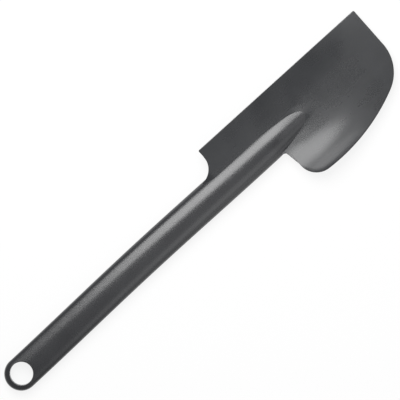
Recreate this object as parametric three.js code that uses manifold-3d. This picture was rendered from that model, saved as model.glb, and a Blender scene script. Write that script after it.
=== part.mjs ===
// Heat-resistant spatula.
// A rigid oval handle with a hanging eye runs out as a spine into a flexible, dished blade. The blade is
// moulded round the spine and through the keying holes of a thin tang that is hidden in its thickness.
// Millimetres. X runs from the eye to the blade's end, Y points to the straight edge and Z to the front face.
// Places along X start at the centre of the eye, and Z = 0 is the middle of the handle's thickness.

import * as THREE from 'three';
import { mergeVertices } from 'three/addons/utils/BufferGeometryUtils.js';
import Module from 'manifold-3d';

const { clamp, lerp, smoothstep } = THREE.MathUtils;

// Handle: an oval bar that thickens and gets rounder from the eye to the blade, bows slightly towards the
// straight edge and lies on a narrow flat along its back
const handleWidth = 17.7;
const gripLength = 180.2;
const gripBow = 0.8;
const crownAtEye = 3.4;
const crownAtHeel = 5.2;
const backCrown = 4.4;
const backFlatCut = 0.3;
const powerAtEye = 2.5;
const powerAtHeel = 2;
const eyeHoleDiameter = 12.2;
const eyeHoleLead = 0.3;

// Spine: the end of the handle, which narrows from just before the lobe's heel, sinks under the blade's face
// in a blunt nose and drifts towards the lobe
const spineLead = 6.2;
const spineLength = 40;
const spineTipWidth = 3.6;
const spineTipCrown = 0.9;
const spineNarrowing = 1.45;
const spineDrift = 0.9;
const spineDriftLead = 3.8;

// Blade outline: a straight edge with a square end corner, and a lobe of three tangent arcs on the other side
const straightEdgeLength = 108.8;
const edgeLead = 34.05;
const edgeOffsetAtHeel = 22.6;
const edgeOffsetAtEnd = 21.4;
const endLean = 0.022;
const lobeDepth = 30.55;
const bellyLead = 19.2;
const bellyRadius = 104;
const heelRadius = 10.7;
const endRadius = 22.4;
const notchRadius = 9.8;
const heelFilletRadius = 3.9;

// Blade section: thick at the root and thin along its edges
const rootThickness = 3.4;
const edgeThickness = 1.2;
const thinningPower = 4;

// Dish of the front face. The straight edge's side stands higher beside the handle, as a shoulder, and curls
// up to the edge, most beside the belly. The lobe rises as an even apron with a step halfway across it, which
// gets narrower past the heel. Leads are from the heel on.
const curveStart = 4.5;
const curveEase = 3.5;
const shoulderRise = 1.9;
const shoulderStart = -6.5;
const shoulderWidth = 12.5;
const shoulderGrowthLead = -48.2;
const shoulderGrowthLength = 12;
const shoulderFadeLead = -2.2;
const shoulderFadeLength = 24;
const apronSlope = 0.093;
const apronDrift = 2.5;
const apronDriftLead = 11.8;
const apronDriftLength = 14;
const apronFadeLead = 21.8;
const apronFadeLength = 29;
const stepSlope = 0.13;
const stepStart = 7;
const stepEnd = 24.2;
const stepDrift = 4;
const stepDriftLead = 1.8;
const stepDriftLength = 12;
const stepFadeLead = 7.8;
const stepFadeLength = 28;
const curlAtRoot = 0.7;
const curlAtBelly = 1.9;
const curlLead = -10.2;
const curlLength = 42;
const curlFadeLead = 39.8;
const curlFadeLength = 28;

// Tang: a thin perforated plate in the middle of the blade's thickness, in one piece with the handle
const tangHalfWidth = 14.5;
const tangThickness = 1;
const tangReach = 3;
const tangInset = 4;
const keyHoleDiameter = 3.2;
const keyHolePitch = 9;

// Clearance between the blade and all that it is moulded round
const fitGap = 0.3;

// Fineness of the facets
const ringPoints = 40;
const gripSteps = 12;
const eyeSteps = 8;
const spineSteps = 14;
const sheetStep = 3;
const arcSegments = 8;

const halfWidth = handleWidth / 2;
const backFlat = backCrown - backFlatCut;
const heelX = gripLength;
const spineStart = heelX - spineLead;
const spineEnd = spineStart + spineLength;
const edgeStart = heelX - edgeLead;
const bladeEnd = edgeStart + straightEdgeLength;
const bellyX = heelX + bellyLead;
const bellyY = bellyRadius - lobeDepth;
const spineDriftStart = heelX + spineDriftLead;

const wasm = await Module();
wasm.setup();

// A closed solid from a geometry's triangles, with the points that its faces share merged
function toSolid(geometry) {
  geometry.deleteAttribute('normal');
  geometry.deleteAttribute('uv');
  const skin = mergeVertices(geometry);
  const vertProperties = new Float32Array(skin.attributes.position.array);
  const triVerts = new Uint32Array(skin.index.array);
  return new wasm.Manifold(new wasm.Mesh({ numProp: 3, vertProperties, triVerts }));
}

function toMesh(solid, name, material) {
  const { vertProperties, triVerts } = solid.getMesh();
  const geometry = new THREE.BufferGeometry();
  geometry.setAttribute('position', new THREE.BufferAttribute(vertProperties, 3));
  geometry.setIndex(new THREE.BufferAttribute(triVerts, 1));
  geometry.computeVertexNormals();
  const mesh = new THREE.Mesh(geometry, material);
  mesh.name = name;
  return mesh;
}

// A skin through rings of equally many points, one after the other along X, closed by a fan at each end
function loft(rings, startPoint, endPoint) {
  const count = rings[0].length;
  const points = [...rings.flat(), startPoint, endPoint];
  const start = points.length - 2;
  const end = points.length - 1;
  const lastRing = start - count;
  const faces = [];
  for (let k = 0; k < count; k++) {
    const next = (k + 1) % count;
    faces.push(start, next, k);
    for (let ring = 0; ring < lastRing; ring += count) {
      faces.push(ring + k, ring + next, ring + count + next);
      faces.push(ring + k, ring + count + next, ring + count + k);
    }
    faces.push(end, lastRing + k, lastRing + next);
  }
  return new THREE.BufferGeometry().setFromPoints(points).setIndex(faces);
}

// Sideways place of the handle's middle: a bow along the grip and a drift along the spine
function centreLine(x) {
  const bow = gripBow * Math.sin(Math.PI * clamp(x / spineStart, 0, 1)) ** 2;
  return bow - spineDrift * smoothstep(x, spineDriftStart, spineEnd);
}

// Outer shape of the handle and spine. Each section is a superellipse with its own front and back crown.
// Behind the eye's centre the crown is carried round the eye, so that the end is a half turn of the section.
function handleBody(grow) {
  const eyeRadius = halfWidth + grow;

  function ring(x) {
    const alongGrip = clamp(x / gripLength, 0, 1);
    const sunk = smoothstep(x, spineStart, spineEnd);
    const narrowed = clamp((x - spineStart) / spineLength, 0, 1) ** spineNarrowing;
    const front = lerp(lerp(crownAtEye, crownAtHeel, alongGrip), spineTipCrown, sunk) + grow;
    const back = lerp(backCrown, spineTipCrown, sunk) + grow;
    const power = lerp(powerAtEye, powerAtHeel, alongGrip);
    const behindEye = Math.min(x, 0);
    const reach = lerp(halfWidth, spineTipWidth / 2, narrowed) + grow;
    const half = Math.sqrt(reach ** 2 - behindEye ** 2);
    const middle = centreLine(x);
    const points = [];
    for (let k = 0; k < ringPoints; k++) {
      const angle = (2 * Math.PI * k) / ringPoints;
      const side = Math.cos(angle);
      const aside = half * Math.sign(side) * Math.abs(side) ** (2 / power);
      const share = Math.min(Math.hypot(behindEye, aside) / reach, 1);
      const height = (1 - share ** power) ** (1 / power);
      const z = k < ringPoints / 2 ? front * height : Math.max(-back * height, -backFlat - grow);
      points.push(new THREE.Vector3(x, middle + aside, z));
    }
    return points;
  }

  const places = [];
  for (let i = 1; i <= eyeSteps; i++) {
    places.push(-eyeRadius * Math.cos((Math.PI / 2) * (i / eyeSteps)));
  }
  for (let i = 1; i <= gripSteps; i++) {
    places.push(spineStart * (i / gripSteps));
  }
  for (let i = 1; i <= spineSteps; i++) {
    places.push(spineStart + (spineLength + grow) * (i / spineSteps));
  }
  const startPoint = new THREE.Vector3(-eyeRadius, 0, 0);
  const endPoint = new THREE.Vector3(spineEnd + grow, -spineDrift, 0);
  return toSolid(loft(places.map(ring), startPoint, endPoint));
}

// A prism through the whole thickness of the part, standing on a flat outline
function prism(outline) {
  const depth = 2 * (crownAtHeel + backCrown + rootThickness);
  const settings = { depth, bevelEnabled: false, curveSegments: arcSegments };
  return toSolid(new THREE.ExtrudeGeometry(outline, settings).translate(0, 0, -depth / 2));
}

// Depth of the lobe's edge below the handle's axis, from the belly's arc
function bellyDepth(x) {
  return Math.sqrt(bellyRadius ** 2 - (x - bellyX) ** 2) - bellyY;
}

// Distance past a line, easing in from nothing on both sides of it
function easedPast(distance) {
  return (distance + Math.hypot(distance, curveEase)) / 2;
}

// Share of a change that starts a lead past the lobe's heel and takes a length along the blade
function pastHeel(x, lead, length) {
  return smoothstep(x - heelX, lead, lead + length);
}

// Front face of the blade: its shoulder and curl on the straight edge's side, its apron and step on the lobe
function bladeFront(x, y) {
  const shoulderShare = smoothstep(y, shoulderStart, shoulderStart + shoulderWidth);
  const shoulderGrowth = pastHeel(x, shoulderGrowthLead, shoulderGrowthLength);
  const shoulderFade = 1 - pastHeel(x, shoulderFadeLead, shoulderFadeLength);
  const shoulder = shoulderRise * shoulderShare * shoulderGrowth * shoulderFade;

  const apronStart = curveStart + apronDrift * pastHeel(x, apronDriftLead, apronDriftLength);
  const apronFade = 1 - pastHeel(x, apronFadeLead, apronFadeLength);
  const apron = apronSlope * easedPast(-y - apronStart) * apronFade;

  const start = stepStart + stepDrift * pastHeel(x, stepDriftLead, stepDriftLength);
  const climb = clamp((-y - start) / (stepEnd - start), 0, 1);
  const bell = climb - Math.sin(2 * Math.PI * climb) / (2 * Math.PI);
  const stepFade = 1 - pastHeel(x, stepFadeLead, stepFadeLength);
  const step = stepSlope * bell * ((stepEnd - start) / 2) * stepFade;

  const edge = easedPast(y - curveStart) / (edgeOffsetAtHeel - curveStart);
  const curlRise = lerp(curlAtRoot, curlAtBelly, pastHeel(x, curlLead, curlLength));
  const curl = curlRise * edge ** 2 * (1 - pastHeel(x, curlFadeLead, curlFadeLength));
  return rootThickness / 2 + shoulder + apron + step + curl;
}

// The blade thins towards the straight edge, the belly and the end, and stays thick where it joins the handle
function bladeThickness(x, y) {
  const across = clamp(y > 0 ? y / edgeOffsetAtEnd : -y / bellyDepth(x), 0, 1);
  const along = clamp((x - heelX) / (bladeEnd - heelX), 0, 1);
  const fullness = (1 - across ** thinningPower) * (1 - along ** thinningPower);
  return lerp(edgeThickness, rootThickness, fullness);
}

// A sheet over the blade's whole area between two height functions
function sheet(front, back) {
  const startX = edgeStart - notchRadius;
  const width = bladeEnd - startX;
  const height = edgeOffsetAtHeel + lobeDepth;
  const columns = Math.ceil(width / sheetStep);
  const rows = Math.ceil(height / sheetStep);
  const blank = new THREE.BoxGeometry(width, height, 1, columns, rows, 1);
  blank.translate(startX + width / 2, edgeOffsetAtHeel - height / 2, 0);
  const position = blank.attributes.position;
  for (let i = 0; i < position.count; i++) {
    const surface = position.getZ(i) > 0 ? front : back;
    position.setZ(i, surface(position.getX(i), position.getY(i)));
  }
  return toSolid(blank);
}

// Centre of the arc that joins the belly to the end edge: the end radius inside the edge's line, and as far
// from the belly's centre as the two radii differ
function endArcCentre(endTurn) {
  const endLine = new THREE.Vector2(Math.sin(endTurn), Math.cos(endTurn));
  const inward = new THREE.Vector2(-Math.cos(endTurn), Math.sin(endTurn));
  const centre = new THREE.Vector2(bladeEnd, edgeOffsetAtEnd).addScaledVector(inward, endRadius);
  const fromBelly = centre.clone().sub(new THREE.Vector2(bellyX, bellyY));
  const along = fromBelly.dot(endLine);
  const slide = along + Math.sqrt(along ** 2 - fromBelly.lengthSq() + (bellyRadius - endRadius) ** 2);
  return centre.addScaledVector(endLine, -slide);
}

// Blade seen from the front, closed along the handle's axis, where the handle takes its place
function bladeOutline() {
  const heelArcX = heelX + heelRadius;
  const heelArcY = bellyY - Math.sqrt((bellyRadius - heelRadius) ** 2 - (heelArcX - bellyX) ** 2);
  const heelToBelly = Math.atan2(heelArcY - bellyY, heelArcX - bellyX);
  const endTurn = Math.atan(endLean);
  const endArc = endArcCentre(endTurn);
  const bellyToEnd = Math.atan2(endArc.y - bellyY, endArc.x - bellyX);
  const filletX = heelX - heelFilletRadius;
  const notchX = edgeStart - notchRadius;
  const notchY = centreLine(notchX) + halfWidth + notchRadius;

  const outline = new THREE.Shape();
  outline.moveTo(filletX, 0);
  outline.lineTo(filletX, -halfWidth);
  outline.absarc(filletX, -halfWidth - heelFilletRadius, heelFilletRadius, Math.PI / 2, 0, true);
  outline.absarc(heelArcX, heelArcY, heelRadius, Math.PI, heelToBelly, false);
  outline.absarc(bellyX, bellyY, bellyRadius, heelToBelly, bellyToEnd, false);
  outline.absarc(endArc.x, endArc.y, endRadius, bellyToEnd, -endTurn, false);
  outline.lineTo(bladeEnd, edgeOffsetAtEnd);
  outline.lineTo(edgeStart, edgeOffsetAtHeel);
  outline.absarc(notchX, notchY, notchRadius, 0, -Math.PI / 2, true);
  outline.lineTo(notchX, 0);
  return outline;
}

// Tang seen from the front: wings on both sides of the spine, a round nose past its tip, and a row of keying
// holes along the middle of the wings
function tangOutline(grow) {
  const noseX = spineEnd + tangReach - tangHalfWidth;
  const lobeStart = heelX + tangInset;
  const edgeSideStart = edgeStart + tangInset;
  const half = tangHalfWidth + grow;
  const outline = new THREE.Shape();
  outline.moveTo(lobeStart - grow, 0);
  outline.lineTo(lobeStart - grow, -half);
  outline.absarc(noseX, 0, half, -Math.PI / 2, Math.PI / 2, false);
  outline.lineTo(edgeSideStart - grow, half);
  outline.lineTo(edgeSideStart - grow, 0);

  const holeOffset = (halfWidth + tangHalfWidth) / 2;
  const holeMargin = tangHalfWidth - holeOffset;
  const holeLine = new THREE.Path();
  holeLine.moveTo(lobeStart + holeMargin, -holeOffset);
  holeLine.absarc(noseX, 0, holeOffset, -Math.PI / 2, Math.PI / 2, false);
  holeLine.lineTo(edgeSideStart + holeMargin, holeOffset);
  const holeCount = Math.floor(holeLine.getLength() / keyHolePitch);
  for (const place of holeLine.getSpacedPoints(holeCount)) {
    const hole = new THREE.Path();
    hole.absarc(place.x, place.y, keyHoleDiameter / 2 - grow, 0, 2 * Math.PI, true);
    outline.holes.push(hole);
  }
  return outline;
}

// Perforated plate that follows the middle of the blade's thickness
function tang(grow) {
  const half = tangThickness / 2 + grow;
  const middle = (x, y) => bladeFront(x, y) - bladeThickness(x, y) / 2;
  const plate = sheet((x, y) => middle(x, y) + half, (x, y) => middle(x, y) - half);
  return plate.intersect(prism(tangOutline(grow)));
}

function makeHandle() {
  const eyeHole = new THREE.Shape();
  eyeHole.absarc(eyeHoleLead, 0, eyeHoleDiameter / 2, 0, 2 * Math.PI, false);
  return handleBody(0).subtract(prism(eyeHole)).add(tang(0));
}

function makeBlade() {
  const blank = sheet(bladeFront, (x, y) => bladeFront(x, y) - bladeThickness(x, y));
  return blank.intersect(prism(bladeOutline())).subtract(handleBody(fitGap)).subtract(tang(fitGap));
}

const polyamide = new THREE.MeshStandardMaterial({ color: 0x27272a, roughness: 0.26, metalness: 0 });
const silicone = new THREE.MeshStandardMaterial({ color: 0x242629, roughness: 0.28, metalness: 0 });

const spatula = new THREE.Group();
spatula.add(toMesh(makeHandle(), 'handle', polyamide));
spatula.add(toMesh(makeBlade(), 'blade', silicone));

// The part lies on its back, with its origin under the middle of its box
const box = new THREE.Box3().setFromObject(spatula);
const middle = box.getCenter(new THREE.Vector3());
spatula.position.set(-middle.x, -middle.y, -box.min.z);

export default spatula;
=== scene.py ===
"""Heat-resistant spatula, dressed around its CAD frame and seen face on, as on a plain studio table."""

import math

import bmesh
import bpy
import numpy as np
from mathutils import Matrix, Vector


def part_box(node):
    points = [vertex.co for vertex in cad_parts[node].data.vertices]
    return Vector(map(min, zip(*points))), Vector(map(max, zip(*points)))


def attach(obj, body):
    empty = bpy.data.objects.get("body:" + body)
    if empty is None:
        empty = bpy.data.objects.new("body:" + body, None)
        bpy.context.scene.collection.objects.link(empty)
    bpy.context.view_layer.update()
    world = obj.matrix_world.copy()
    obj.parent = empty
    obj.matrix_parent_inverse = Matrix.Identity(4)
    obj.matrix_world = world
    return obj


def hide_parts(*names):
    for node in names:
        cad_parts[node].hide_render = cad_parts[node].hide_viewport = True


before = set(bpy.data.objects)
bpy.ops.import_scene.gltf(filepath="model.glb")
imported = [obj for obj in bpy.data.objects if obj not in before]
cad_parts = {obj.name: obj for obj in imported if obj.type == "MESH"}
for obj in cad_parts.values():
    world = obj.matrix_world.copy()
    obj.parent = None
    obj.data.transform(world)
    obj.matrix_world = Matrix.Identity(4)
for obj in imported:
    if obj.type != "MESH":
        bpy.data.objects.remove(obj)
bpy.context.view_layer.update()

# Handle: one rigid moulding of glass-filled polyamide with the hanging eye, the oval grip and the spine
# that runs out on the blade. It leaves its two-part mould with a fine line along the flanks and a narrow
# flat along its back. Lengths are millimetres from the eye's centre, the axis and the middle plane.

MM = 0.001
HALF_WIDTH = 8.85
GRIP_LENGTH = 180.2
GRIP_BOW = 0.8
CROWN_AT_EYE, CROWN_AT_HEEL = 3.4, 5.19
BACK_CROWN, BACK_FLAT, BACK_FLAT_EASE = 4.4, 4.1, 0.08
POWER_AT_EYE, POWER_AT_HEEL = 2.5, 2.0
EYE_HOLE_RADIUS, EYE_HOLE_LEAD, EYE_RIM_RADIUS = 6.1, 0.3, 0.35
EYE_BLOCK_END = 11.0
MOULD_LINE_HEIGHT, MOULD_LINE_WIDTH = 0.05, 0.2
MOULD_LINE_SHARE_START, MOULD_LINE_SHARE_FULL = 0.9, 0.95
SPINE_START, SPINE_END = 174.0, 213.5
SPINE_TIP_HALF_WIDTH, SPINE_TIP_CROWN, SPINE_NARROWING = 0.6, 0.65, 1.75
SPINE_DRIFT, SPINE_DRIFT_START = 0.6, 185.0

handle_low, handle_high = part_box("handle")
FRAME_ORIGIN = np.array([
    handle_low.x + HALF_WIDTH * MM,
    (handle_low.y + handle_high.y) / 2,
    handle_low.z + BACK_FLAT * MM,
])


def lerp(start, end, share):
    """The value that lies the given share of the way from start to end."""
    return start + (end - start) * share


def smooth_max(a, b, ease):
    """The larger of two values: half of their sum plus the hypotenuse of their difference and ease, which
    rounds the corner between them over about that length."""
    return (a + b + np.hypot(a - b, ease)) / 2


def share_between(x, start, end):
    """How far x has come from start to end: nought before, one after."""
    return np.clip((x - start) / (end - start), 0, 1)


def smooth_step(x, start, end):
    """A cubic rise from nought to one between start and end that is level at both."""
    share = share_between(x, start, end)
    return share ** 2 * (3 - 2 * share)


def centre_line(x):
    """Sideways place of the handle's middle. The grip bows towards the straight edge by a squared sine,
    nought at the eye and at the spine, and the spine drifts towards the lobe by a smooth step."""
    bow = GRIP_BOW * np.sin(np.pi * share_between(x, 0, SPINE_START)) ** 2
    return bow - SPINE_DRIFT * smooth_step(x, SPINE_DRIFT_START, SPINE_END)


def half_width(x):
    """Half of the handle's width: constant along the grip, narrowing along the spine with a power of the
    distance."""
    narrowing = share_between(x, SPINE_START, SPINE_END) ** SPINE_NARROWING
    return lerp(HALF_WIDTH - MOULD_LINE_HEIGHT, SPINE_TIP_HALF_WIDTH, narrowing)


def front_crown(x):
    """Height of the handle's front: it rises along the grip, and sinks along the spine by a smooth step."""
    crown = lerp(CROWN_AT_EYE, CROWN_AT_HEEL, share_between(x, 0, GRIP_LENGTH))
    return lerp(crown, SPINE_TIP_CROWN, smooth_step(x, SPINE_START, SPINE_END))


SMALLEST_AWAY = 1e-6


def handle_points(x, y, front):
    """Points of the handle's skin over the plan (x, y), with y from the bowed centre line. The height is
    the crown times a superellipse of the distance from that line, or from the eye's centre behind it, with
    a power that falls from the eye to the heel. Near the middle plane the mould line pushes the skin out."""
    behind = np.minimum(x, 0)
    away = np.hypot(behind, y)
    share = np.clip(away / half_width(x), 0, 1)
    sunk = smooth_step(x, SPINE_START, SPINE_END)
    power = lerp(POWER_AT_EYE, POWER_AT_HEEL, share_between(x, 0, GRIP_LENGTH))
    height = (1 - share ** power) ** (1 / power)
    front_z = front_crown(x) * height
    back_z = smooth_max(-lerp(BACK_CROWN, SPINE_TIP_CROWN, sunk) * height, -BACK_FLAT, BACK_FLAT_EASE)
    z = np.where(front, front_z, np.where(share < 1, back_z, 0))
    on_flank = share_between(share, MOULD_LINE_SHARE_START, MOULD_LINE_SHARE_FULL)
    ridge = MOULD_LINE_HEIGHT * np.exp(-((z / MOULD_LINE_WIDTH) ** 2)) * on_flank
    outward = ridge / np.maximum(away, SMALLEST_AWAY)
    return np.stack([x + behind * outward, y + y * outward + centre_line(x), z], axis=-1)


def grid_faces(rows, columns, closed_rows=False, closed_columns=False):
    """Corner numbers of the quads of a grid of points, wrapped round where the grid is closed."""
    i = np.arange(rows if closed_rows else rows - 1)[:, None]
    j = np.arange(columns if closed_columns else columns - 1)[None, :]
    next_i, next_j = (i + 1) % rows, (j + 1) % columns
    corners = [i * columns + j, next_i * columns + j, next_i * columns + next_j, i * columns + next_j]
    return np.stack(np.broadcast_arrays(*corners), axis=-1).reshape(-1, 4)


WELD_DISTANCE, SLIVER_LENGTH = 6e-7, 1e-8


def make_piece(name, grids, edge_wear_and_shade):
    """A mesh object from grids of points, each with its quads, welded where they share points and freed of
    slivers. The edge mask is a point attribute for the material: one on a scuffed edge with painted shade,
    nought away."""
    points = np.concatenate([grid.reshape(-1, 3) for grid, faces in grids])
    starts = np.cumsum([0] + [grid.size // 3 for grid, faces in grids])
    quads = np.concatenate([faces + start for (grid, faces), start in zip(grids, starts)])
    mesh = bpy.data.meshes.new(name)
    mesh.from_pydata(points * MM + FRAME_ORIGIN, [], quads)
    wear_and_shade = mesh.attributes.new("edge_wear_and_shade", "FLOAT", "POINT")
    wear_and_shade.data.foreach_set("value", np.concatenate([w.ravel() for w in edge_wear_and_shade]).astype(np.float32))
    shaped = bmesh.new()
    shaped.from_mesh(mesh)
    bmesh.ops.remove_doubles(shaped, verts=shaped.verts, dist=WELD_DISTANCE)
    bmesh.ops.dissolve_degenerate(shaped, edges=shaped.edges, dist=SLIVER_LENGTH)
    bmesh.ops.recalc_face_normals(shaped, faces=shaped.faces)
    shaped.to_mesh(mesh)
    shaped.free()
    mesh.shade_smooth()
    piece = bpy.data.objects.new(name, mesh)
    bpy.context.scene.collection.objects.link(piece)
    return piece


# Points across half a section, from one flank over the crown to the other, closest at the mould line
QUARTER_POINTS, QUARTER_CROWDING = 37, 1.5

quarter = np.pi / 2 * np.linspace(0, 1, QUARTER_POINTS) ** QUARTER_CROWDING
side_share = np.cos(quarter) ** (2 / POWER_AT_EYE)
side_share[-1] = 0
across = np.concatenate([side_share, -side_share[-2::-1]])

# Grip and spine: the section carried along the axis from the eye to the spine's tip, where it closes
GRIP_SECTIONS, SPINE_SECTIONS = 48, 61

along = np.concatenate([
    np.linspace(EYE_BLOCK_END, SPINE_START, GRIP_SECTIONS),
    np.linspace(SPINE_START, SPINE_END, SPINE_SECTIONS)[1:],
])
section_x = np.repeat(along[:, None], across.size, axis=1)
section_y = half_width(section_x) * across
bar_front = handle_points(section_x, section_y, True)
bar_back = handle_points(section_x, section_y, False)
bar = np.concatenate([bar_front, bar_back[:, -2:0:-1]], axis=1)
tip = np.broadcast_to([SPINE_END, -SPINE_DRIFT, 0.0], (1, bar.shape[1], 3))
bar = np.concatenate([bar, tip])

# Eye: a profile on each ray from the hole's centre, which starts at the outline or at the grip's first
# section, runs in over the crown, rounds the hole's rim, goes through the hole and comes back behind
EYE_SIDE_POINTS, EYE_ROUND_POINTS = 12, 81
EYE_LAND_POINTS, EYE_LAND_CROWDING = 26, 2.5
EYE_RIM_POINTS, EYE_WALL_POINTS = 10, 8

eye_radius = half_width(0.0)
corner_angle = math.atan2(eye_radius, EYE_BLOCK_END)
side_angle = np.linspace(-corner_angle, -np.pi / 2, EYE_SIDE_POINTS)[1:]
round_angle = np.linspace(-np.pi / 2, -3 * np.pi / 2, EYE_ROUND_POINTS)[1:]
return_angle = np.linspace(-3 * np.pi / 2, corner_angle - 2 * np.pi, EYE_SIDE_POINTS)[1:-1]
outer_x = np.concatenate([
    np.full(across.size, EYE_BLOCK_END),
    eye_radius / np.tan(-side_angle),
    eye_radius * np.cos(round_angle),
    eye_radius / np.tan(return_angle),
])[:, None]
outer_y = np.concatenate([
    eye_radius * across,
    np.full(side_angle.size, -eye_radius),
    eye_radius * np.sin(round_angle),
    np.full(return_angle.size, eye_radius),
])[:, None]
ray = np.arctan2(outer_y, outer_x - EYE_HOLE_LEAD)
inward = np.linspace(0, 1, EYE_LAND_POINTS)[None, :] ** EYE_LAND_CROWDING
rim_start = EYE_HOLE_RADIUS + EYE_RIM_RADIUS
land_x = lerp(outer_x, EYE_HOLE_LEAD + rim_start * np.cos(ray), inward)
land_y = lerp(outer_y, rim_start * np.sin(ray), inward)
rim_turn = np.linspace(0, np.pi / 2, EYE_RIM_POINTS)[None, 1:]
rim_radius = EYE_HOLE_RADIUS + EYE_RIM_RADIUS * (1 - np.sin(rim_turn))
rim_drop = EYE_RIM_RADIUS * (1 - np.cos(rim_turn))
rim_x = EYE_HOLE_LEAD + rim_radius * np.cos(ray)
rim_y = rim_radius * np.sin(ray)
front_land = handle_points(land_x, land_y, True)
back_land = handle_points(land_x, land_y, False)
front_rim = handle_points(rim_x, rim_y, True) - rim_drop[..., None] * [0, 0, 1]
back_rim = handle_points(rim_x, rim_y, False) + rim_drop[..., None] * [0, 0, 1]
through = np.linspace(0, 1, EYE_WALL_POINTS)[None, 1:-1, None]
wall = lerp(front_rim[:, -1:], back_rim[:, -1:], through)
eye = np.concatenate([front_land, front_rim, wall, back_rim[:, ::-1], back_land[:, ::-1]], axis=1)

# Scuffing and painted edge shade: along the mould line, and on the rounded rim of the hole
FLANK_WEAR_AND_SHADE_WIDTH = 0.3
EYE_WEAR_AND_SHADE_OFFSET, EYE_WEAR_AND_SHADE_WIDTH = 0.25, 0.5

bar_wear_and_shade = np.exp(-((bar[..., 2] / FLANK_WEAR_AND_SHADE_WIDTH) ** 2))
from_hole = np.hypot(eye[..., 0] - EYE_HOLE_LEAD, eye[..., 1]) - EYE_HOLE_RADIUS
eye_wear_and_shade = np.exp(-(((from_hole - EYE_WEAR_AND_SHADE_OFFSET) / EYE_WEAR_AND_SHADE_WIDTH) ** 2))
handle = make_piece(
    "spatula_handle",
    [
        (bar, grid_faces(bar.shape[0], bar.shape[1], closed_columns=True)),
        (eye, grid_faces(eye.shape[0], eye.shape[1], closed_rows=True)),
    ],
    [bar_wear_and_shade, eye_wear_and_shade],
)

# Moulded finish: patterns per metre, the part of each noise that is used, and how far it moves the surface
CLOUD_SCALE, FLECK_SCALE, STREAK_SCALE, RIPPLE_SCALE, WEAR_AND_SHADE_SCALE = 70, 1900, 240, 160, 420
STREAK_STRETCH = (0.06, 1, 1)
NOISE_LOW, NOISE_HIGH = 0.3, 0.7
FLECK_LOW, FLECK_HIGH = 0.35, 0.65
WEAR_AND_SHADE_LOW, WEAR_AND_SHADE_HIGH, LEAST_WEAR_AND_SHADE, MOST_WEAR_AND_SHADE = 0.35, 0.7, 0.15, 0.8
CLOUD_TONE, FLECK_TONE_LOW, FLECK_TONE_HIGH = 0.75, -0.15, 0.4
STREAK_GLOSS, CLOUD_GLOSS, WEAR_ROUGHNESS = 0.01, 0.012, 0.1
RIPPLE_DEPTH = 0.00002


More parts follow.
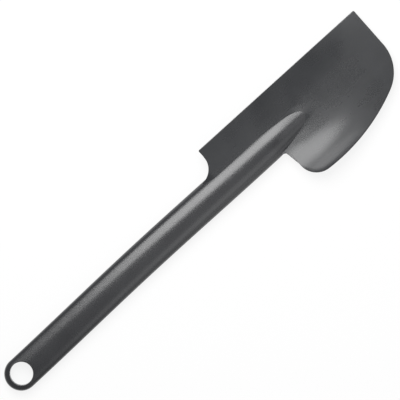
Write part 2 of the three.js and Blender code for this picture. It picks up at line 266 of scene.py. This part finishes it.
def moulded_finish(name, dark, light, worn_and_shaded, roughness, refraction, grain_scale, grain_depth):
    """Satin moulded surface: colour that drifts between two greys with fine flecks, edges scuffed rougher
    and painted a little darker as edge shade, roughness broken by faint streaks along the piece, and a bump
    of spark-eroded grain over a slight ripple. Each is a noise moved into its own range."""
    material = bpy.data.materials.new(name)
    material.use_nodes = True
    nodes, links = material.node_tree.nodes, material.node_tree.links
    shader = nodes["Principled BSDF"]
    place = nodes.new("ShaderNodeTexCoord")

    def noise(scale, detail, stretch=(1, 1, 1)):
        """Noise of the piece's own coordinates, longer along an axis whose stretch is below one."""
        mapping = nodes.new("ShaderNodeMapping")
        mapping.inputs["Scale"].default_value = stretch
        links.new(place.outputs["Object"], mapping.inputs["Vector"])
        texture = nodes.new("ShaderNodeTexNoise")
        texture.inputs["Scale"].default_value = scale
        texture.inputs["Detail"].default_value = detail
        links.new(mapping.outputs["Vector"], texture.inputs["Vector"])
        return texture.outputs["Fac"]

    def remap(value, low, high, to_low, to_high):
        """The value moved in a straight line from one range to another, and held at its ends."""
        node = nodes.new("ShaderNodeMapRange")
        for socket, number in zip(node.inputs[1:5], (low, high, to_low, to_high)):
            socket.default_value = number
        links.new(value, node.inputs["Value"])
        return node.outputs["Result"]

    def combine(operation, a, b):
        """The sum or product of two sockets, or of a socket and a number."""
        node = nodes.new("ShaderNodeMath")
        node.operation = operation
        for socket, value in zip(node.inputs, (a, b)):
            if isinstance(value, (int, float)):
                socket.default_value = value
            else:
                links.new(value, socket)
        return node.outputs["Value"]

    def blend(factor, a, b):
        """The colour that lies the factor's share of the way from a to b, each a socket or a colour."""
        node = nodes.new("ShaderNodeMix")
        node.data_type = "RGBA"
        links.new(factor, node.inputs["Factor"])
        for socket, value in zip((node.inputs[6], node.inputs[7]), (a, b)):
            if isinstance(value, tuple):
                socket.default_value = (*value, 1)
            else:
                links.new(value, socket)
        return node.outputs[2]

    cloud = noise(CLOUD_SCALE, detail=5)
    fleck = noise(FLECK_SCALE, detail=3)
    streak = noise(STREAK_SCALE, detail=4, stretch=STREAK_STRETCH)
    grain = noise(grain_scale, detail=2)
    ripple = noise(RIPPLE_SCALE, detail=2)
    wear_and_shade_patches = remap(noise(WEAR_AND_SHADE_SCALE, detail=5), WEAR_AND_SHADE_LOW, WEAR_AND_SHADE_HIGH, LEAST_WEAR_AND_SHADE, MOST_WEAR_AND_SHADE)
    # Edge mask: these edges are scuffed rougher and also painted darker, a painted edge shade.
    wear_and_shade_mask = nodes.new("ShaderNodeAttribute")
    wear_and_shade_mask.attribute_name = "edge_wear_and_shade"
    wear_and_shade = combine("MULTIPLY", wear_and_shade_mask.outputs["Fac"], wear_and_shade_patches)

    cloud_tone = remap(cloud, NOISE_LOW, NOISE_HIGH, 0, CLOUD_TONE)
    fleck_tone = remap(fleck, FLECK_LOW, FLECK_HIGH, FLECK_TONE_LOW, FLECK_TONE_HIGH)
    tone = combine("ADD", cloud_tone, fleck_tone)
    # Masked edges take the darker edge colour: painted edge shade as well as scuffing.
    links.new(blend(wear_and_shade, blend(tone, dark, light), worn_and_shaded), shader.inputs["Base Color"])
    streak_gloss = remap(streak, NOISE_LOW, NOISE_HIGH, -STREAK_GLOSS, STREAK_GLOSS)
    cloud_gloss = remap(cloud, NOISE_LOW, NOISE_HIGH, -CLOUD_GLOSS, CLOUD_GLOSS)
    even_rough = combine("ADD", combine("ADD", streak_gloss, cloud_gloss), roughness)
    rough = combine("ADD", even_rough, combine("MULTIPLY", wear_and_shade, WEAR_ROUGHNESS))
    links.new(rough, shader.inputs["Roughness"])
    shader.inputs["IOR"].default_value = refraction

    grain_height = combine("MULTIPLY", grain, grain_depth)
    height = combine("ADD", grain_height, combine("MULTIPLY", ripple, RIPPLE_DEPTH))
    bump = nodes.new("ShaderNodeBump")
    bump.inputs["Distance"].default_value = 1.0
    links.new(height, bump.inputs["Height"])
    links.new(bump.outputs["Normal"], shader.inputs["Normal"])
    return material


polyamide = moulded_finish(
    "handle_polyamide",
    dark=(0.0165, 0.0172, 0.0195),
    light=(0.0233, 0.0242, 0.027),
    # Darker edge colour: painted edge shade as well as scuffing.
    worn_and_shaded=(0.009, 0.0094, 0.0105),
    roughness=0.26,
    refraction=1.66,
    grain_scale=2600,
    grain_depth=0.000012,
)
handle.data.materials.append(polyamide)
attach(handle, "root")
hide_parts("handle")

# Blade: one flexible moulding of heat-resistant silicone, formed round the spine and through the tang
# hidden in it. It is thick at the root and thin along its edges, with a straight edge, a square end corner
# and a dished lobe.

EDGE_START, BLADE_END, HEEL_X = 146.15, 254.95, 180.2
EDGE_AT_HEEL, EDGE_AT_END, END_LEAN = 22.6, 21.5, 0.022
LOBE_DEPTH, BELLY_X, BELLY_RADIUS = 30.54, 199.4, 104.0
BELLY_Y = BELLY_RADIUS - LOBE_DEPTH
HEEL_RADIUS, END_RADIUS, NOTCH_RADIUS, HEEL_FILLET = 10.7, 22.4, 9.8, 3.9
CORNER_RADIUS, RIM_RADIUS = 0.7, 0.25
ROOT_THICKNESS, EDGE_THICKNESS, THINNING_POWER = 3.4, 1.2, 4
CURVE_START, CURVE_EASE = 4.5, 3.5
SHOULDER_RISE, SHOULDER_START, SHOULDER_FULL = 1.9, -6.5, 6.0
SHOULDER_GROWTH_START, SHOULDER_GROWTH_END = 132.0, 144.0
SHOULDER_FADE_START, SHOULDER_FADE_END, SHOULDER_FADE_END_AT_EDGE = 178.0, 202.0, 209.0
APRON_SLOPE, APRON_FADE_START, APRON_FADE_END = 0.093, 190.0, 252.0
APRON_EASE_AT_END, APRON_EASE_START, APRON_EASE_END = 10.0, 192.0, 206.0
STEP_SLOPE, STEP_FADE_START, STEP_FADE_END = 0.13, 188.0, 222.0
STEP_START_AT_HEEL, STEP_START, STEP_END = 7.0, 9.8, 24.2
STEP_DRIFT_START, STEP_DRIFT_END = 182.0, 194.0
LIP_RISE, LIP_START, LIP_FULL, LIP_FADE_START, LIP_FADE_END = 0.11, 22.5, 29.5, 208.0, 222.0
ROLL_WIDTH, ROLL_DEPTH, ROLL_START, ROLL_FULL = 2.6, 0.15, 18.0, 26.0
EDGE_RISE_AT_HEEL, EDGE_RISE_AT_BELLY = 0.7, 1.9
EDGE_RISE_START, EDGE_RISE_FULL, EDGE_FADE_START, EDGE_FADE_END = 170.0, 212.0, 220.0, 248.0
FILLET_SINK, FILLET_EASE, FILLET_RISE, FILLET_LOBE_SHARE = 0.3, 0.6, 0.6, 0.7
FILLET_START, FILLET_FULL, FILLET_FADE_START, FILLET_FADE_END = 193.0, 203.0, 196.0, 209.0
SEAT_DEPTH = 0.4
SLOT_INSET, SLOT_ROUND_START, SLOT_END = 3.2, 183.0, 193.0


def spine_fillet(x, y):
    """Rise of the silicone round the spine's end: it eases up to follow the spine's crown, a little under
    its skin and no higher than a limit, so that it closes over the tip. It is narrower on the lobe's side,
    grows along the end and fades out past it."""
    away = y - centre_line(x)
    inside = 1 - (away / half_width(x) / np.where(away < 0, FILLET_LOBE_SHARE, 1)) ** 2
    spine = front_crown(x) * np.sign(inside) * np.sqrt(np.abs(inside))
    over_face = smooth_max(spine - FILLET_SINK - ROOT_THICKNESS / 2, 0, FILLET_EASE)
    growth = smooth_step(x, FILLET_START, FILLET_FULL)
    fade = smooth_step(x, FILLET_FADE_START, FILLET_FADE_END)
    return np.minimum(over_face, FILLET_RISE) * growth * (1 - fade)


def blade_front(x, y):
    """Front face: level along the middle but for the fillet. Beside the handle a shoulder stands higher by
    a smooth step, and the face curls up to the straight edge with the distance squared. The lobe rises as
    an even apron, which starts more softly past the heel, with a step halfway across it whose slope is a
    raised cosine, and a slight lip by a smooth step. All of it fades towards the end by smooth steps."""
    shoulder = SHOULDER_RISE * smooth_step(y, SHOULDER_START, SHOULDER_FULL)
    shoulder = shoulder * smooth_step(x, SHOULDER_GROWTH_START, SHOULDER_GROWTH_END)
    to_edge = share_between(y, SHOULDER_FULL, EDGE_AT_HEEL)
    shoulder_end = lerp(SHOULDER_FADE_END, SHOULDER_FADE_END_AT_EDGE, to_edge)
    shoulder = shoulder * (1 - smooth_step(x, SHOULDER_FADE_START, shoulder_end))
    apron_ease = lerp(CURVE_EASE, APRON_EASE_AT_END, smooth_step(x, APRON_EASE_START, APRON_EASE_END))
    apron = smooth_max(-y - CURVE_START, 0, apron_ease) - smooth_max(-CURVE_START, 0, apron_ease)
    apron = APRON_SLOPE * apron * (1 - smooth_step(x, APRON_FADE_START, APRON_FADE_END))
    step_start = lerp(STEP_START_AT_HEEL, STEP_START, smooth_step(x, STEP_DRIFT_START, STEP_DRIFT_END))
    climb = share_between(-y, step_start, STEP_END)
    climb = (climb - np.sin(2 * np.pi * climb) / (2 * np.pi)) * (STEP_END - step_start) / 2
    step = STEP_SLOPE * climb * (1 - smooth_step(x, STEP_FADE_START, STEP_FADE_END))
    lip = LIP_RISE * smooth_step(-y, LIP_START, LIP_FULL)
    lip = lip * (1 - smooth_step(x, LIP_FADE_START, LIP_FADE_END))
    edge = smooth_max(y - CURVE_START, 0, CURVE_EASE) / (EDGE_AT_HEEL - CURVE_START)
    to_belly = smooth_step(x, EDGE_RISE_START, EDGE_RISE_FULL)
    curl = lerp(EDGE_RISE_AT_HEEL, EDGE_RISE_AT_BELLY, to_belly) * edge ** 2
    curl = curl * (1 - smooth_step(x, EDGE_FADE_START, EDGE_FADE_END))
    return ROOT_THICKNESS / 2 + shoulder + apron + step + lip + curl + spine_fillet(x, y)


def blade_thickness(x, y):
    """Thickness: full at the root, falling with a high power of the distance to the straight edge, the
    belly's arc and the end, and growing by the spine's fillets on both faces."""
    belly_depth = np.sqrt(BELLY_RADIUS ** 2 - (x - BELLY_X) ** 2) - BELLY_Y
    across_share = np.clip(np.where(y > 0, y / EDGE_AT_END, -y / belly_depth), 0, 1)
    along_share = share_between(x, HEEL_X, BLADE_END)
    fullness = (1 - across_share ** THINNING_POWER) * (1 - along_share ** THINNING_POWER)
    return lerp(EDGE_THICKNESS, ROOT_THICKNESS, fullness) + 2 * spine_fillet(x, y)


def arc(centre, radius, start, end, count):
    """Points of a circle's arc between two angles, without the last one."""
    angle = np.linspace(start, end, count + 1)[:-1]
    return np.stack([centre[0] + radius * np.cos(angle), centre[1] + radius * np.sin(angle)], axis=-1)


def stretch(start, end, count):
    """Evenly spaced points of a straight line, without the last one."""
    return lerp(np.array(start), np.array(end), np.linspace(0, 1, count + 1)[:-1, None])


# Free edge, from the heel fillet round the lobe, the end, the straight edge and the notch back to the
# handle. Its two ends dive a little into the handle's flanks, as the moulding does. The heel's and the end's
# arcs touch the belly's arc from inside, so their centres lie the difference of the radii from its centre.
heel_centre = np.array([HEEL_X + HEEL_RADIUS, 0.0])
heel_reach = (BELLY_RADIUS - HEEL_RADIUS) ** 2 - (heel_centre[0] - BELLY_X) ** 2
heel_centre[1] = BELLY_Y - math.sqrt(heel_reach)
end_turn = math.atan(END_LEAN)
end_line = np.array([math.sin(end_turn), math.cos(end_turn)])
end_inward = np.array([-math.cos(end_turn), math.sin(end_turn)])
from_belly = np.array([BLADE_END - BELLY_X, EDGE_AT_END - BELLY_Y]) + END_RADIUS * end_inward
back_along = from_belly @ end_line
end_reach = back_along ** 2 - from_belly @ from_belly + (BELLY_RADIUS - END_RADIUS) ** 2
end_slide = back_along + math.sqrt(end_reach)
end_centre = np.array([BELLY_X, BELLY_Y]) + from_belly - end_slide * end_line
end_arc_stop = end_centre - END_RADIUS * end_inward
heel_to_belly = math.atan2(heel_centre[1] - BELLY_Y, heel_centre[0] - BELLY_X)
belly_to_end = math.atan2(end_centre[1] - BELLY_Y, end_centre[0] - BELLY_X)
seat = HALF_WIDTH - SEAT_DEPTH
fillet_centre = (HEEL_X - HEEL_FILLET, -seat - HEEL_FILLET)
notch_x = EDGE_START - NOTCH_RADIUS
notch_centre = (notch_x, seat + centre_line(notch_x) + NOTCH_RADIUS)
edge_lean = math.atan2(EDGE_AT_HEEL - EDGE_AT_END, BLADE_END - EDGE_START)
edge_lift = CORNER_RADIUS * np.array([math.sin(edge_lean), math.cos(edge_lean)])
end_corner = np.array([BLADE_END - CORNER_RADIUS * (1 + END_LEAN), EDGE_AT_END - CORNER_RADIUS])
heel_corner = np.array([
    EDGE_START + CORNER_RADIUS,
    EDGE_AT_HEEL - CORNER_RADIUS * (1 + math.sin(edge_lean)),
])
runs = [
    arc(fillet_centre, HEEL_FILLET, math.pi / 2, 0, count=12),
    stretch((HEEL_X, fillet_centre[1]), (HEEL_X, heel_centre[1]), count=8),
    arc(heel_centre, HEEL_RADIUS, -math.pi, heel_to_belly, count=32),
    arc((BELLY_X, BELLY_Y), BELLY_RADIUS, heel_to_belly, belly_to_end, count=60),
    arc(end_centre, END_RADIUS, belly_to_end, -end_turn, count=44),
    stretch(end_arc_stop, end_corner - CORNER_RADIUS * end_inward, count=28),
    arc(end_corner, CORNER_RADIUS, -end_turn, math.pi / 2 - edge_lean, count=8),
    stretch(end_corner + edge_lift, heel_corner + edge_lift, count=110),
    arc(heel_corner, CORNER_RADIUS, math.pi / 2 - edge_lean, math.pi, count=8),
    stretch((EDGE_START, heel_corner[1]), (EDGE_START, notch_centre[1]), count=6),
    arc(notch_centre, NOTCH_RADIUS, 0, -math.pi / 2, count=30),
    np.array([[notch_x, notch_centre[1] - NOTCH_RADIUS]]),
]
free_edge = np.concatenate(runs)
run_ends = np.cumsum([len(run) for run in runs]) / len(free_edge)
direction = np.gradient(free_edge, axis=0)
direction /= np.linalg.norm(direction, axis=1, keepdims=True)
inner_side = np.stack([-direction[:, 1], direction[:, 0]], axis=-1)

# Slot that the spine fills: a line just inside the handle's flanks with a round nose short of the spine's
# tip. Each point of the free edge has its partner on it, from one flank (-1) round the nose (0) to the other
# (1), with a fixed partner at the ends of six of the runs.
PARTNER_RUNS = [1, 2, 3, 4, 5, 7]
PARTNER_PLACES = [-0.93, -0.75, -0.3, -0.08, 0.06, 0.9]

edge_share = np.arange(len(free_edge)) / (len(free_edge) - 1)
partner = np.interp(edge_share, [0, *run_ends[PARTNER_RUNS], 1], [-1, *PARTNER_PLACES, 1])
slot_reach = np.where(partner < 0, SLOT_END - fillet_centre[0], SLOT_END - notch_x)
slot_x = SLOT_END - slot_reach * partner ** 2
nose = share_between(slot_x, SLOT_ROUND_START, SLOT_END)
slot_half_width = (half_width(slot_x) - SLOT_INSET) * np.sqrt(1 - nose ** 2)
slot_y = np.sign(partner) * slot_half_width + centre_line(slot_x)
slot = np.stack([slot_x, slot_y], axis=-1)

# Skin: a closed profile on every point of the free edge. It rounds the rim, runs over the front face to the
# slot, drops to the back face and runs out to the rim again.
RIM_POINTS = 7
FACE_POINTS, FACE_CROWDING = 80, 1.6

turn = np.linspace(0, np.pi / 2, RIM_POINTS)[None, :]
inset = RIM_RADIUS * (1 - np.sin(turn))
rim_plan = free_edge[:, None] + inset[..., None] * inner_side[:, None]
face_share = 1 - np.linspace(1, 0, FACE_POINTS)[None, 1:, None] ** FACE_CROWDING
face_plan = lerp(rim_plan[:, :1], slot[:, None], face_share)


def over_blade(plan):
    """The heights of the front and the back over points of the plan. The front rolls over towards the lobe's
    rim with the square of the nearness to it."""
    x, y = plan[..., 0], plan[..., 1]
    front = blade_front(x, y)
    from_edge = np.sum((plan - free_edge[:, None]) * inner_side[:, None], axis=-1)
    on_lobe = smooth_step(-y, ROLL_START, ROLL_FULL) * (1 - smooth_step(x, STEP_FADE_START, STEP_FADE_END))
    roll = ROLL_DEPTH * np.clip(1 - from_edge / ROLL_WIDTH, 0, 1) ** 2 * on_lobe
    return front - roll, front - blade_thickness(x, y)


rim_front, rim_back = over_blade(rim_plan)
face_front, face_back = over_blade(face_plan)
rim_fall = RIM_RADIUS * (1 - np.cos(turn))
front_rim_z = rim_front - rim_fall
back_rim_z = rim_back + rim_fall
outline = np.concatenate([rim_plan[:, ::-1], face_plan, face_plan[:, ::-1], rim_plan], axis=1)
levels = np.concatenate([front_rim_z[:, ::-1], face_front, face_back[:, ::-1], back_rim_z], axis=1)
skin = np.concatenate([outline, levels[..., None]], axis=-1)
end_caps = np.broadcast_to(skin[[0, -1]].mean(axis=1, keepdims=True), (2, *skin.shape[1:]))
skin = np.concatenate([end_caps[:1], skin, end_caps[1:]])

# Scuffing and painted edge shade: on the rim, dying away inwards
RIM_WEAR_AND_SHADE_WIDTH = 0.7

rim_distance = np.linalg.norm(skin[1:-1, :, :2] - free_edge[:, None], axis=-1)
skin_wear_and_shade = np.exp(-rim_distance / RIM_WEAR_AND_SHADE_WIDTH)
skin_wear_and_shade = np.concatenate([skin_wear_and_shade[:1], skin_wear_and_shade, skin_wear_and_shade[-1:]])
blade = make_piece(
    "spatula_blade",
    [(skin, grid_faces(skin.shape[0], skin.shape[1], closed_columns=True))],
    [skin_wear_and_shade],
)

silicone = moulded_finish(
    "blade_silicone",
    dark=(0.0145, 0.0158, 0.0181),
    light=(0.0201, 0.0217, 0.0244),
    # Darker edge colour: painted edge shade as well as scuffing.
    worn_and_shaded=(0.008, 0.0087, 0.0098),
    roughness=0.28,
    refraction=1.6,
    grain_scale=2100,
    grain_depth=0.000006,
)
blade.data.materials.append(silicone)
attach(blade, "root")
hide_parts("blade")

# Table: a plain white sheet that the spatula lies on. The camera and reflections see it mostly as clean
# white, so that only a faint shadow of the spatula is left on it.

TABLE_HALF_SIZE = 6.0
TABLE_GREY = 0.9
TABLE_WHITE_SHARE = 0.85

table_mesh = bpy.data.meshes.new("table")
table_corners = TABLE_HALF_SIZE * np.array([[-1, -1, 0], [1, -1, 0], [1, 1, 0], [-1, 1, 0]])
table_mesh.from_pydata(table_corners, [], [(0, 1, 2, 3)])
table = bpy.data.objects.new("table", table_mesh)
bpy.context.scene.collection.objects.link(table)
paper = bpy.data.materials.new("table_paper")
paper.use_nodes = True
paper_nodes, paper_links = paper.node_tree.nodes, paper.node_tree.links
paper_nodes.clear()
matte = paper_nodes.new("ShaderNodeBsdfDiffuse")
matte.inputs["Color"].default_value = (TABLE_GREY, TABLE_GREY, TABLE_GREY, 1)
clean = paper_nodes.new("ShaderNodeEmission")
clean.inputs["Strength"].default_value = 1.0
light_path = paper_nodes.new("ShaderNodeLightPath")
seen = light_path.outputs["Is Camera Ray"]
for ray_kind in ("Is Glossy Ray", "Is Transmission Ray"):
    either = paper_nodes.new("ShaderNodeMath")
    either.operation = "MAXIMUM"
    paper_links.new(seen, either.inputs[0])
    paper_links.new(light_path.outputs[ray_kind], either.inputs[1])
    seen = either.outputs["Value"]
white_share = paper_nodes.new("ShaderNodeMath")
white_share.operation = "MULTIPLY"
white_share.inputs[1].default_value = TABLE_WHITE_SHARE
paper_links.new(seen, white_share.inputs[0])
surface = paper_nodes.new("ShaderNodeMixShader")
paper_links.new(white_share.outputs["Value"], surface.inputs["Fac"])
paper_links.new(matte.outputs["BSDF"], surface.inputs[1])
paper_links.new(clean.outputs["Emission"], surface.inputs[2])
paper_output = paper_nodes.new("ShaderNodeOutputMaterial")
paper_links.new(surface.outputs["Shader"], paper_output.inputs["Surface"])
table_mesh.materials.append(paper)

# Light: a large soft box on the straight edge's side, and a smaller one next to it over the grip, whose
# reflections are the bright band along the handle and on the lobe. Four weak boxes lift the straight edge's
# curl, the grip, the blade's end and the heel from the lobe's side, in a dim room.


def soft_box(name, place, target, width, height, power):
    """A rectangular lamp, hidden from the camera, tilted and swung to face a target from its place."""
    lamp = bpy.data.lights.new(name, "AREA")
    lamp.shape = "RECTANGLE"
    lamp.size, lamp.size_y = width, height
    lamp.energy = power
    box = bpy.data.objects.new(name, lamp)
    bpy.context.scene.collection.objects.link(box)
    box.location = place
    away = np.array(place) - np.array(target)
    tilt = math.atan2(np.hypot(away[0], away[1]), away[2])
    box.rotation_euler = (tilt, 0, math.atan2(away[0], -away[1]))
    box.visible_camera = False
    return box


soft_box(
    "key_light", place=(0.1775, 0.343, 0.564), target=(0.1475, 0.0, 0.0),
    width=0.385, height=0.52, power=3.98,
)
soft_box(
    "grip_light", place=(-0.0525, 0.3195, 0.5783), target=(-0.0833, -0.0322, 0.0),
    width=0.075, height=0.435, power=0.71,
)
soft_box(
    "edge_light", place=(0.16, -0.43, 0.55), target=(0.125, 0.0, 0.0),
    width=0.58, height=0.32, power=0.43,
)
soft_box(
    "fill_light", place=(-0.015, -0.44, 0.48), target=(-0.02, 0.0, 0.0),
    width=0.15, height=1.12, power=0.333,
)
soft_box(
    "end_light", place=(0.29, -0.1, 0.55), target=(0.08, -0.01, 0.0),
    width=0.22, height=0.16, power=0.1,
)
soft_box(
    "heel_light", place=(0.17, -0.62, 0.2), target=(0.07, 0.0, 0.0),
    width=0.3, height=0.3, power=0.17,
)

ROOM_COLOUR = (0.29, 0.29, 0.295, 1)

world = bpy.data.worlds.new("studio")
world.use_nodes = True
world.node_tree.nodes["Background"].inputs["Color"].default_value = ROOM_COLOUR
bpy.context.scene.world = world

# Camera: a long lens straight above, turned so that the handle runs from the lower left to the upper
# right, with the eye where the photograph has it.

MM_PER_PIXEL = 0.52
IMAGE_SIZE = 400
EYE_PIXEL = np.array([20.755, 373.193])
AXIS_ANGLE = math.radians(42.744)
LENS, SENSOR = 300.0, 36.0

to_middle = (np.array([(IMAGE_SIZE - 1) / 2] * 2) - EYE_PIXEL) * [1, -1] * MM_PER_PIXEL
turned = np.array([
    [math.cos(AXIS_ANGLE), math.sin(AXIS_ANGLE)],
    [-math.sin(AXIS_ANGLE), math.cos(AXIS_ANGLE)],
]) @ to_middle
camera_data = bpy.data.cameras.new("camera")
camera_data.lens, camera_data.sensor_width = LENS, SENSOR
camera = bpy.data.objects.new("camera", camera_data)
bpy.context.scene.collection.objects.link(camera)
camera_height = IMAGE_SIZE * MM_PER_PIXEL * LENS / SENSOR
camera.location = FRAME_ORIGIN + np.array([turned[0], turned[1], camera_height]) * MM
camera.rotation_euler = (0, 0, -AXIS_ANGLE)
bpy.context.scene.camera = camera
bpy.context.scene.view_settings.view_transform = "Standard"
